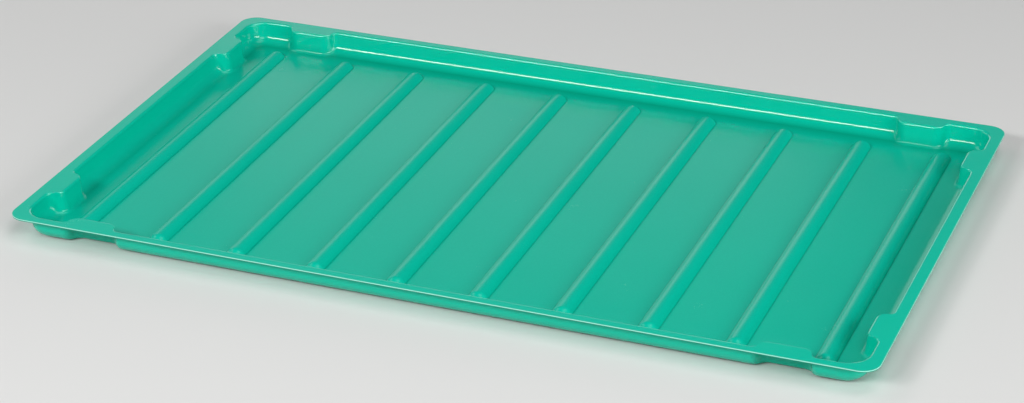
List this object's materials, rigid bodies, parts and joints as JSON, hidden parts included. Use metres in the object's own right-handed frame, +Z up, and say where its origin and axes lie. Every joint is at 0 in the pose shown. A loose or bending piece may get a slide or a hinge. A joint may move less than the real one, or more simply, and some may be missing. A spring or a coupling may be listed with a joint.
{
  "type": "stacking tray",
  "caption": "Shallow rectangular thermoformed tray with a flat flange, stacking lugs near its corners and raised ribs across its floor.",
  "frame": {"origin": "middle of the tray on the surface that it stands on, at the underside of the floor", "axes": "+X along the tray's length, +Y across it, +Z up out of its open side"},
  "size_m": [0.53, 0.325, 0.015],
  "materials": {
    "tray_plastic": "satin green thermoformed sheet, glossier on the drawn walls"
  },
  "bodies": {
    "root": {"tray_shell": "tray_plastic"}
  },
  "joints": []
}
